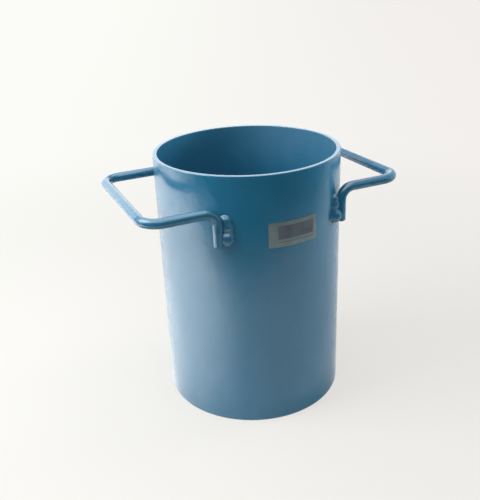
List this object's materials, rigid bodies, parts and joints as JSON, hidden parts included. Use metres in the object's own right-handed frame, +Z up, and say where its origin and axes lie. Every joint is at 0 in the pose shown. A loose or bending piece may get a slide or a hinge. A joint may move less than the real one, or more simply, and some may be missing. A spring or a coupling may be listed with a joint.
{
  "type": "bulk density measure",
  "caption": "Open steel cylinder for bulk density tests, blue enamel inside and out, with a welded base, a bent bar handle welded on each side and a blank label plate.",
  "frame": {"origin": "middle of the foot ring, on the surface that the measure stands on", "axes": "+Z up through the mouth, -X towards the left handle and +X towards the right handle, -Y towards the front with the label"},
  "size_m": [0.311, 0.2135, 0.3],
  "materials": {
    "blue_enamel": "semi-gloss enamel over steel, a little orange peel",
    "label_foil": "satin metal foil, no lettering"
  },
  "bodies": {
    "root": {"vessel_shell": "blue_enamel", "base_plate": "blue_enamel", "base_weld": "blue_enamel", "left_handle": "blue_enamel", "right_handle": "blue_enamel", "left_front_outer_weld": "blue_enamel", "left_front_inner_weld": "blue_enamel", "left_rear_outer_weld": "blue_enamel", "left_rear_inner_weld": "blue_enamel", "right_front_outer_weld": "blue_enamel", "right_front_inner_weld": "blue_enamel", "right_rear_outer_weld": "blue_enamel", "right_rear_inner_weld": "blue_enamel", "label_plate": "label_foil"}
  },
  "joints": []
}
